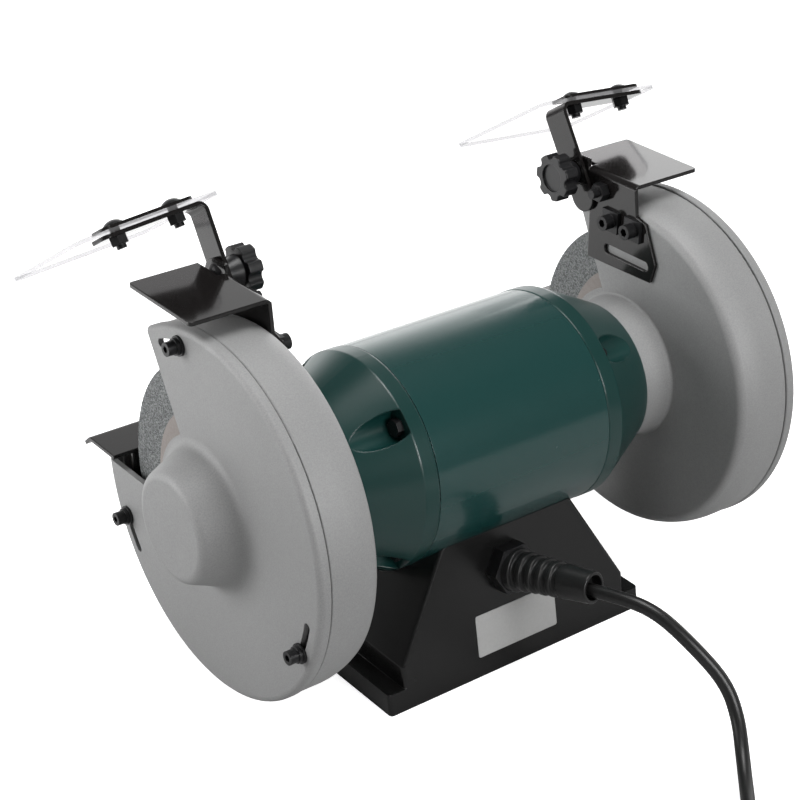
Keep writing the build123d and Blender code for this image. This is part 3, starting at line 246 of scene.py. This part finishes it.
# Noise of colour and gloss in the plain finishes, in cycles per metre
COLOUR_NOISE = 700
GLOSS_NOISE = 120
GLOSS_SPREAD = 0.02
# Plain finishes by slot: darkest and lightest colour, roughness, grain as cycles per metre and
# depth, radius of the softened edges, then any other settings of the shader
FINISHES = {
    "green_paint": dict(
        name="green_enamel",
        low=(0.0071, 0.0485, 0.045),
        high=(0.0076, 0.051, 0.0475),
        roughness=0.26,
        grain=(520, 0.00002),
        coat_weight=0.6,
        coat_roughness=0.10,
    ),
    "green_casting": dict(
        name="green_enamel_cast",
        low=(0.0054, 0.039, 0.035),
        high=(0.0058, 0.041, 0.037),
        roughness=0.30,
        grain=(420, 0.00003),
        edge=0.0012,
        coat_weight=0.2,
        coat_roughness=0.16,
    ),
    "black_paint": dict(
        name="black_powder_coat",
        low=(0.005, 0.005, 0.005),
        high=(0.008, 0.008, 0.008),
        roughness=0.26,
        grain=(1100, 0.000015),
        edge=0.0008,
    ),
    "black_sheet": dict(
        name="black_sheet_paint",
        low=(0.009, 0.008, 0.0078),
        high=(0.013, 0.0118, 0.0115),
        roughness=0.11,
        grain=(900, 0.000004),
        edge=0.0009,
    ),
    "dark_steel": dict(
        name="black_oxide",
        low=(0.010, 0.010, 0.011),
        high=(0.022, 0.022, 0.023),
        roughness=0.34,
        grain=(1500, 0.00002),
        edge=0.0003,
        metallic=0.4,
    ),
    "bright_steel": dict(
        name="machined_steel",
        low=(0.50, 0.50, 0.51),
        high=(0.58, 0.58, 0.59),
        roughness=0.28,
        grain=(1800, 0.00001),
        metallic=1.0,
    ),
    "core_steel": dict(
        name="laminated_steel",
        low=(0.22, 0.22, 0.24),
        high=(0.30, 0.30, 0.32),
        roughness=0.45,
        grain=(900, 0.00003),
        metallic=0.8,
    ),
    "copper": dict(
        name="enamelled_wire",
        low=(0.45, 0.16, 0.06),
        high=(0.55, 0.22, 0.09),
        roughness=0.35,
        grain=(700, 0.0002),
        metallic=0.8,
    ),
    "can_aluminium": dict(
        name="drawn_aluminium",
        low=(0.62, 0.62, 0.63),
        high=(0.70, 0.70, 0.71),
        roughness=0.3,
        grain=(900, 0.00001),
        metallic=1.0,
    ),
    "foam_rubber": dict(
        name="foam_rubber",
        low=(0.02, 0.02, 0.02),
        high=(0.035, 0.035, 0.035),
        roughness=0.85,
        grain=(2500, 0.0002),
    ),
    "white_plastic": dict(
        name="white_plastic",
        low=(0.44, 0.44, 0.435),
        high=(0.49, 0.49, 0.485),
        roughness=0.38,
        grain=(1200, 0.00001),
    ),
    "black_plastic": dict(
        name="black_plastic",
        low=(0.008, 0.008, 0.009),
        high=(0.012, 0.012, 0.013),
        roughness=0.36,
        grain=(2200, 0.00003),
        edge=0.0006,
    ),
    "green_plastic": dict(
        name="green_plastic",
        low=(0.01, 0.22, 0.05),
        high=(0.015, 0.26, 0.06),
        roughness=0.3,
        grain=(1500, 0.00001),
    ),
    "soft_black": dict(
        name="soft_black_pvc",
        low=(0.011, 0.011, 0.011),
        high=(0.015, 0.015, 0.015),
        roughness=0.36,
        grain=(1700, 0.00002),
    ),
    "blotter_paper": dict(
        name="blotter_paper",
        low=(0.30, 0.27, 0.255),
        high=(0.36, 0.33, 0.31),
        roughness=0.9,
        grain=(1800, 0.0001),
    ),
}


def new_material(name):
    """Material with its node tree and Principled shader."""
    material = bpy.data.materials.new(name)
    material.use_nodes = True
    tree = material.node_tree
    return material, tree, tree.nodes["Principled BSDF"]


def noise(tree, scale, detail, roughness=0.5):
    """Noise texture in object space, in cycles per metre."""
    place = tree.nodes.new("ShaderNodeTexCoord")
    texture = tree.nodes.new("ShaderNodeTexNoise")
    texture.inputs["Scale"].default_value = scale
    texture.inputs["Detail"].default_value = detail
    texture.inputs["Roughness"].default_value = roughness
    tree.links.new(place.outputs["Object"], texture.inputs["Vector"])
    return texture.outputs["Fac"]


def ramp(tree, value, low, high, limits=(0.15, 0.85)):
    """Blend from one colour to another as a value rises."""
    node = tree.nodes.new("ShaderNodeValToRGB")
    for element, position, colour in zip(node.color_ramp.elements, limits, (low, high)):
        element.position = position
        element.color = (*colour, 1)
    tree.links.new(value, node.inputs["Fac"])
    return node.outputs["Color"]


def spread(tree, value, low, high):
    """Map a value from 0..1 to a range."""
    node = tree.nodes.new("ShaderNodeMapRange")
    node.inputs["From Min"].default_value = 0.1
    node.inputs["From Max"].default_value = 0.9
    node.inputs["To Min"].default_value = low
    node.inputs["To Max"].default_value = high
    tree.links.new(value, node.inputs["Value"])
    return node.outputs["Result"]


def bump(tree, surface, height, distance, under=None):
    """Bump the shader by a height field, in metres, over an earlier bump."""
    node = tree.nodes.new("ShaderNodeBump")
    node.inputs["Strength"].default_value = 1.0
    node.inputs["Distance"].default_value = distance
    tree.links.new(height, node.inputs["Height"])
    if under:
        tree.links.new(under, node.inputs["Normal"])
    tree.links.new(node.outputs["Normal"], surface.inputs["Normal"])
    return node.outputs["Normal"]


def rounded_edges(tree, radius):
    """Normal that rounds sharp edges over a radius, so that they catch the light."""
    node = tree.nodes.new("ShaderNodeBevel")
    node.samples = 6
    node.inputs["Radius"].default_value = radius
    return node.outputs["Normal"]


def finish(name, low, high, roughness, grain, edge=0.0004, **more):
    """Paint, metal or plastic with fine noise of colour and gloss, grain and rounded edges."""
    material, tree, surface = new_material(name)
    colour = ramp(tree, noise(tree, COLOUR_NOISE, 2), low, high)
    tree.links.new(colour, surface.inputs["Base Color"])
    limits = roughness - GLOSS_SPREAD, roughness + GLOSS_SPREAD
    gloss = spread(tree, noise(tree, GLOSS_NOISE, 2), *limits)
    tree.links.new(gloss, surface.inputs["Roughness"])
    for key, value in more.items():
        surface.inputs[key.replace("_", " ").title()].default_value = value
    scale, depth = grain
    bump(tree, surface, noise(tree, scale, 3, 0.6), depth, under=rounded_edges(tree, edge))
    return material


def make_materials():
    """One procedural material for each of the record's slots."""
    made = {slot: finish(**settings) for slot, settings in FINISHES.items()}
    made["grey_casting"] = cast_grey()
    made["abrasive"] = abrasive_grit()
    made["clear_plastic"] = clear_sheet()
    return made


def cast_grey():
    """Silver-grey paint over a fine cast skin, a little uneven in tone."""
    material, tree, surface = new_material("silver_grey_paint")
    slow = ramp(tree, noise(tree, 14, 4), (0.355, 0.356, 0.354), (0.40, 0.401, 0.399))
    fine = ramp(tree, noise(tree, 1400, 2, 0.7), (0.70, 0.70, 0.71), (1, 1, 1))
    tone = tree.nodes.new("ShaderNodeMix")
    tone.data_type = "RGBA"
    tone.blend_type = "MULTIPLY"
    tone.inputs["Factor"].default_value = 1.0
    tree.links.new(slow, tone.inputs["A"])
    tree.links.new(fine, tone.inputs["B"])
    tree.links.new(tone.outputs["Result"], surface.inputs["Base Color"])
    gloss = spread(tree, noise(tree, 300, 2), 0.50, 0.62)
    tree.links.new(gloss, surface.inputs["Roughness"])
    surface.inputs["Metallic"].default_value = 0.12
    edges = rounded_edges(tree, 0.0006)
    skin = bump(tree, surface, noise(tree, 1100, 3, 0.6), 0.00004, under=edges)
    bump(tree, surface, noise(tree, 45, 3), 0.00025, under=skin)
    return material


def abrasive_grit():
    """Grey grit, each grain in a tone of its own, with a rough surface."""
    material, tree, surface = new_material("abrasive_grit")
    place = tree.nodes.new("ShaderNodeTexCoord")
    cells = tree.nodes.new("ShaderNodeTexVoronoi")
    cells.inputs["Scale"].default_value = 1500
    tree.links.new(place.outputs["Object"], cells.inputs["Vector"])
    tone = tree.nodes.new("ShaderNodeSeparateColor")
    tree.links.new(cells.outputs["Color"], tone.inputs["Color"])
    darkest, lightest = (0.12, 0.128, 0.13), (0.36, 0.375, 0.375)
    colour = ramp(tree, tone.outputs["Red"], darkest, lightest, (0.1, 0.9))
    tree.links.new(colour, surface.inputs["Base Color"])
    surface.inputs["Roughness"].default_value = 0.75
    first = bump(tree, surface, cells.outputs["Distance"], 0.0006)
    bump(tree, surface, noise(tree, 2500, 4, 0.7), 0.0003, under=first)
    return material


def clear_sheet():
    """Clear polished plastic sheet. Its cut edges get a grey tint and more solid surface, as
    painted shade for light bent inside them.
    """
    material, tree, surface = new_material("clear_plastic")
    surface.inputs["Base Color"].default_value = (0.70, 0.70, 0.71, 1)
    surface.inputs["Roughness"].default_value = 0.06
    surface.inputs["IOR"].default_value = 1.45
    bump(tree, surface, noise(tree, 25, 2), 0.00001)
    clear = tree.nodes.new("ShaderNodeBsdfTransparent")
    place = tree.nodes.new("ShaderNodeTexCoord")
    facing = vector_math(tree, "DOT_PRODUCT", place.outputs["Normal"], SHEET_NORMAL)
    flat = math_node(tree, "MULTIPLY", facing, facing)
    # Grey at the cut edges is painted shade for light bent inside them; the faces' faint tint is
    # the sheet's own
    tint = ramp(tree, flat, PAINTED_EDGE_SHADE, FACE_TINT, EDGE_TO_FACE)
    tree.links.new(tint, clear.inputs["Color"])
    body = eased(tree, flat, EDGE_TO_FACE, EDGE_BODY, FACE_BODY)
    mix_shaders(tree, body, clear.outputs["BSDF"], surface.outputs["BSDF"], "Material Output")
    return material


def dress_nodes(materials):
    """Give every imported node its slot's procedural material."""
    slot_of = {part["node"]: part["material_slot"] for part in frame["record"]["subparts"]}
    for name, node in nodes.items():
        node.data.materials.clear()
        node.data.materials.append(materials[slot_of[name]])


# ---------------------------------------------------------------- mains cord

CORD_D = 7.0
CORD_ROUTE = [
    (-7.0, 96.5, 61.9),
    (-11.6, 117.2, 65.9),
    (-18.5, 136.0, 64.5),
    (-26.0, 154.5, 52.0),
    (-35.4, 169.4, 34.8),
    (-34.8, 180.2, 20.2),
    (-26.6, 192.7, 8.3),
    (-16.2, 205.8, 3.5),
    (-2.3, 221.7, 3.5),
    (8.2, 234.2, 3.5),
    (22.6, 253.4, 3.5),
]
# The put-away length: lanes of the coil as (column, row), column 1 on the outside
COIL_LANES = ((1, 0), (0, 0), (0, 1), (1, 1), (1, 2), (0, 2), (0, 3), (1, 3))
COIL_MID_R = 38.0
COIL_COLUMN_PITCH = 7.3
COIL_START = -36.87
# Direction in which the route's last run goes on into the coil, and how far
COIL_WAY = (0.6, 0.8)
COIL_LEAD = 18.0
COIL_TURNS = 6.3524
COIL_STEPS = 16
COIL_CHANGE = 110.0
COIL_OUTER_R = COIL_MID_R + COIL_COLUMN_PITCH / 2
COIL_CENTRE = (
    CORD_ROUTE[-1][0] + COIL_WAY[0] * COIL_LEAD - COIL_WAY[1] * COIL_OUTER_R,
    CORD_ROUTE[-1][1] + COIL_WAY[1] * COIL_LEAD + COIL_WAY[0] * COIL_OUTER_R,
)
TAIL_RUN = 22.0
PLUG_R = 18.0
PLUG_NECK = 22.0
PLUG_NECK_R = 6.5
PLUG_LEN = 30.0
# The neck's start at the cord as (along, radius), then its ribs, each wider than the last
PLUG_START = ((-2.0, CORD_D / 2 + 0.4), (0.0, PLUG_NECK_R - 1.2))
PLUG_RIBS = 5
PLUG_RIB_START = 1.0
PLUG_RIB_PITCH = 3.6
PLUG_RIB_GROWTH = 0.35
# One rib and the groove after it as (along, below the rib's radius)
PLUG_RIB = ((0.0, 0.0), (2.2, 0.0), (2.5, 1.3), (3.3, 1.3))
# Flare at the neck's end as (along from that end, radius)
PLUG_FLARE = ((-2.0, 9.0), (0.0, 12.0))
# Body with a gripped waist as (along from the neck's end, below the full radius)
PLUG_BODY = (
    (1.0, 3.0),
    (4.0, 0.8),
    (7.0, 0.0),
    (9.0, 0.6),
    (13.0, 2.4),
    (17.0, 2.4),
    (21.0, 0.6),
    (23.0, 0.0),
    (PLUG_LEN - 1.2, 0.0),
    (PLUG_LEN - 0.4, 0.4),
    (PLUG_LEN, 1.4),
)
PLUG_PIN_R = 2.4
PLUG_PIN_LEN = 19.0
PLUG_PIN_IN = 1.0
PLUG_PIN_PITCH = 19.0
# Rounded tip of a pin as (back from the tip, below the pin's radius)
PLUG_PIN_TIP = ((1.6, 0.0), (0.5, 0.7), (0.0, 1.6))
PLUG_PIN_STEPS = 24
TIE_LIFT = 0.8
TIE_SPREAD = 25.0


def coil_lane(sweep):
    """Column and row of the coil after a sweep in degrees, eased from lane to lane."""
    lane_sweep = 360.0 * COIL_TURNS / len(COIL_LANES)
    changed = 0.0
    for change in range(1, len(COIL_LANES)):
        done = min(1.0, max(0.0, (sweep - change * lane_sweep) / COIL_CHANGE + 0.5))
        changed += 0.5 - 0.5 * math.cos(math.pi * done)
    lane = min(int(changed), len(COIL_LANES) - 2)
    share = changed - lane
    pair = zip(COIL_LANES[lane], COIL_LANES[lane + 1])
    return [(1 - share) * before + share * after for before, after in pair]


def coil_points():
    """Control points of the coil's turns, which rise a little over the tie at +X."""
    outset = 1 / math.cos(math.pi / COIL_STEPS)
    points = []
    for step in range(1, int(COIL_TURNS * COIL_STEPS) + 1):
        sweep = 360.0 * step / COIL_STEPS
        column, row = coil_lane(sweep)
        radius = (COIL_MID_R + (column - 0.5) * COIL_COLUMN_PITCH) * outset
        angle = math.radians(COIL_START + sweep)
        off_tie = math.degrees(math.acos(math.cos(angle)))
        lift = TIE_LIFT * math.exp(-((off_tie / TIE_SPREAD) ** 2))
        x = COIL_CENTRE[0] + radius * math.cos(angle)
        y = COIL_CENTRE[1] + radius * math.sin(angle)
        points.append((x, y, CORD_D * (row + 0.5) + lift))
    return points


def tail_points():
    """Control points from the coil's last turn down to the plug lying beside it."""
    x, y = COIL_CENTRE[0], COIL_CENTRE[1] + COIL_OUTER_R
    z = CORD_D * (len(COIL_LANES) / 2 - 0.5)
    return [
        (x - TAIL_RUN, y - 1.0, z - 1.5),
        (x - 2 * TAIL_RUN, y - 4.0, PLUG_R),
        (x - 2.6 * TAIL_RUN, y - 6.5, PLUG_R),
    ]


def make_cord(materials, plug):
    """Mains cord, one smooth line from the gland along the bench and the coil to the plug."""
    data = bpy.data.curves.new("mains_lead", "CURVE")
    data.dimensions = "3D"
    data.bevel_depth = CORD_D / 2 * MM
    data.bevel_resolution = 5
    data.resolution_u = 6
    data.use_fill_caps = True
    spline = data.splines.new("NURBS")
    points = CORD_ROUTE + coil_points() + tail_points()
    spline.points.add(len(points) - 1)
    for control, (x, y, z) in zip(spline.points, points):
        control.co = (x * MM, y * MM, z * MM, 1.0)
    spline.order_u = 3
    spline.use_endpoint_u = True
    data.materials.append(materials["soft_black"])
    cord = bpy.data.objects.new("mains_lead", data)
    bpy.context.scene.collection.objects.link(cord)
    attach(cord, "frame")
    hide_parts("mains_cord", "cord_coil", "cord_tail")


# ---------------------------------------------------------------- added pieces

# Line up the middle of the base's rear panel, and the rating plate's place along it
PANEL_LOW = Vector((0, 57.4, 0))
PANEL_HIGH = Vector((0, 43.3, 77.5))
PLATE_AT = 22.6
PLATE_SIZE = (52.7, 23.4)
PLATE_T = 0.4
PLATE_CORNER = 1.2
PLATE_EDGE = 0.12
SEAT_GAP = 0.02
TIE_W = 6.0
TIE_T = 0.7
TIE_STEPS = 8


def add_piece(name, mesh, body, slot, materials):
    """Link a mesh as a piece that rides on a body, in its slot's material."""
    piece = bpy.data.objects.new(name, mesh)
    mesh.materials.append(materials[slot])
    bpy.context.scene.collection.objects.link(piece)
    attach(piece, body)
    return piece


def rounded_outline(width, height, radius, steps=6):
    """Corners of a rounded rectangle about the origin, anticlockwise."""
    points = []
    for corner in range(4):
        turn = math.pi / 2 * corner
        sign_x = 1 if corner in (0, 3) else -1
        sign_y = 1 if corner in (0, 1) else -1
        for step in range(steps + 1):
            angle = turn + math.pi / 2 * step / steps
            x = sign_x * (width / 2 - radius) + radius * math.cos(angle)
            y = sign_y * (height / 2 - radius) + radius * math.sin(angle)
            points.append((x, y))
    return points


def join_rings(shape, rings):
    """Quads between neighbouring rings of vertices."""
    for lower, upper in zip(rings, rings[1:]):
        count = len(lower)
        for index in range(count):
            after = (index + 1) % count
            shape.faces.new((lower[index], lower[after], upper[after], upper[index]))


def close_rings(shape, rings):
    """Join rings of vertices and cap both ends."""
    join_rings(shape, rings)
    shape.faces.new(rings[-1])
    shape.faces.new(list(reversed(rings[0])))


def mesh_of(name, shape):
    """Mesh of a finished shape, with its faces turned outwards."""
    bmesh.ops.recalc_face_normals(shape, faces=shape.faces)
    mesh = bpy.data.meshes.new(name)
    shape.to_mesh(mesh)
    shape.free()
    return mesh


def make_rating_plate(materials):
    """Bare rating plate on the rear panel of the base."""
    rise = (PANEL_HIGH - PANEL_LOW).normalized()
    across = Vector((-1, 0, 0))
    outward = across.cross(rise).normalized()
    centre = PANEL_LOW + rise * PLATE_AT + outward * SEAT_GAP
    rim = rounded_outline(*PLATE_SIZE, PLATE_CORNER)
    shape = bmesh.new()
    rings = []
    for height, inset in ((0.0, 0.0), (PLATE_T - PLATE_EDGE, 0.0), (PLATE_T, PLATE_EDGE)):
        scale_x, scale_y = (1 - 2 * inset / size for size in PLATE_SIZE)
        ring = []
        for x, y in rim:
            place = centre + across * x * scale_x + rise * y * scale_y + outward * height
            ring.append(shape.verts.new(place * MM))
        rings.append(ring)
    close_rings(shape, rings)
    mesh = mesh_of("rating_plate", shape)
    add_piece("rating_plate", mesh, "frame", "white_plastic", materials)


def lathe(shape, axis, profile, steps=48):
    """Closed surface turned about an axis from (along, radius) stations."""
    rings = []
    for along, radius in profile:
        ring = []
        for step in range(steps):
            angle = 2 * math.pi * step / steps
            place = Vector((radius * math.cos(angle), radius * math.sin(angle), along))
            ring.append(shape.verts.new((axis @ place) * MM))
        rings.append(ring)
    close_rings(shape, rings)


def make_plug(materials):
    """Moulded plug at the cord's end: ribbed neck, body with a gripped waist, two round pins."""
    before, end = (Vector(point) for point in tail_points()[-2:])
    along = (end - before).normalized()
    turn = along.to_track_quat("Z", "Y").to_matrix().to_4x4()
    axis = Matrix.Translation(end) @ turn
    profile = list(PLUG_START)
    for rib in range(PLUG_RIBS):
        start = PLUG_RIB_START + PLUG_RIB_PITCH * rib
        radius = PLUG_NECK_R + PLUG_RIB_GROWTH * rib
        profile += [(start + run, radius - drop) for run, drop in PLUG_RIB]
    profile += [(PLUG_NECK + run, radius) for run, radius in PLUG_FLARE]
    profile += [(PLUG_NECK + run, PLUG_R - drop) for run, drop in PLUG_BODY]
    shape = bmesh.new()
    lathe(shape, axis, profile)
    pin_length = PLUG_PIN_LEN + PLUG_PIN_IN
    stations = [(0.0, PLUG_PIN_R)]
    stations += [(pin_length - back, PLUG_PIN_R - drop) for back, drop in PLUG_PIN_TIP]
    for side in (-1, 1):
        root = (0, side * PLUG_PIN_PITCH / 2, PLUG_NECK + PLUG_LEN - PLUG_PIN_IN)
        lathe(shape, axis @ Matrix.Translation(root), stations, PLUG_PIN_STEPS)
    for face in shape.faces:
        face.smooth = len(face.verts) == 4
    mesh = mesh_of("moulded_plug", shape)
    plug = add_piece("moulded_plug", mesh, "frame", "soft_black", materials)
    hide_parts("plug")
    return plug


def make_coil_tie(materials):
    """Flat tie looped round the coil at its +X side."""
    width = COIL_COLUMN_PITCH + CORD_D + 2 * TIE_T
    height = len(COIL_LANES) / 2 * CORD_D + TIE_LIFT + TIE_T
    loop = rounded_outline(width, height, CORD_D / 2 + TIE_T, TIE_STEPS)
    inner = rounded_outline(width - 2 * TIE_T, height - 2 * TIE_T, CORD_D / 2, TIE_STEPS)
    shape = bmesh.new()
    rings = []
    for outline, side in ((loop, -1), (loop, 1), (inner, 1), (inner, -1)):
        ring = []
        for across, up in outline:
            x = COIL_CENTRE[0] + COIL_MID_R + across
            y = COIL_CENTRE[1] + side * TIE_W / 2
            place = Vector((x, y, up + height / 2 + SEAT_GAP))
            ring.append(shape.verts.new(place * MM))
        rings.append(ring)
    join_rings(shape, rings + rings[:1])
    mesh = mesh_of("coil_tie", shape)
    add_piece("coil_tie", mesh, "frame", "black_plastic", materials)


make_camera()
materials = make_materials()
dress_nodes(materials)
make_cord(materials, make_plug(materials))
make_rating_plate(materials)
make_coil_tie(materials)
make_studio()
